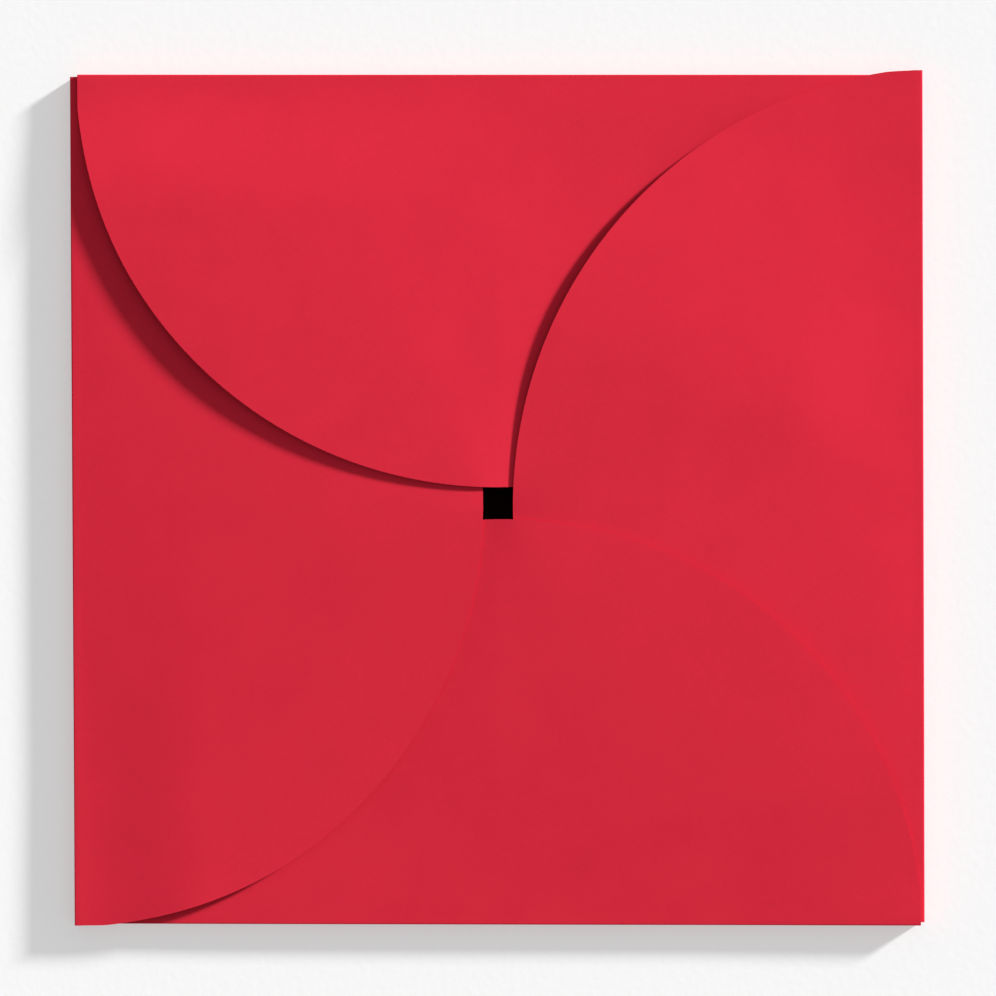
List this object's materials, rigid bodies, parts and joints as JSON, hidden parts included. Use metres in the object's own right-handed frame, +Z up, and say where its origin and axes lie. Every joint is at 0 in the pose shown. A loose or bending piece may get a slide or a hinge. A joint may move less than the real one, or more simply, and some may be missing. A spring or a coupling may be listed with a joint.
{
  "type": "petal envelope",
  "caption": "Square card envelope with round petal flaps that fold in from every side and lock over each other round a small square window.",
  "frame": {"origin": "middle of the back panel's underside, which lies on the table", "axes": "+Z up out of the closed petals, +Y towards the top petal's fold, +X towards the right petal's fold"},
  "size_m": [0.16, 0.16, 0.0062],
  "materials": {
    "red_card": "matte uncoated dyed card, smooth with a faint fibre",
    "black_liner": "matte black paper"
  },
  "bodies": {
    "back": {"back_panel": "red_card", "liner": "black_liner"},
    "top_petal": {"top_fold": "red_card", "top_heel": "red_card", "top_leaf": "red_card", "top_tuck": "red_card"},
    "right_petal": {"right_fold": "red_card", "right_heel": "red_card", "right_leaf": "red_card", "right_tuck": "red_card"},
    "bottom_petal": {"bottom_fold": "red_card", "bottom_heel": "red_card", "bottom_leaf": "red_card", "bottom_tuck": "red_card"},
    "left_petal": {"left_fold": "red_card", "left_heel": "red_card", "left_leaf": "red_card", "left_tuck": "red_card"}
  },
  "joints": [
    {"name": "top_petal_opens", "type": "hinge", "parent": "back", "child": "top_petal", "pos_m": [0, 0.07845, 0.00155], "axis": [-1, 0, 0], "range_deg": [0, 175], "deforming": ["top_tuck"]},
    {"name": "right_petal_opens", "type": "hinge", "parent": "back", "child": "right_petal", "pos_m": [0.07845, 0, 0.00155], "axis": [0, 1, 0], "range_deg": [0, 175], "deforming": ["right_tuck"]},
    {"name": "bottom_petal_opens", "type": "hinge", "parent": "back", "child": "bottom_petal", "pos_m": [0, -0.07845, 0.00155], "axis": [1, 0, 0], "range_deg": [0, 175], "deforming": ["bottom_tuck"]},
    {"name": "left_petal_opens", "type": "hinge", "parent": "back", "child": "left_petal", "pos_m": [-0.07845, 0, 0.00155], "axis": [0, -1, 0], "range_deg": [0, 175], "deforming": ["left_tuck"]}
  ]
}
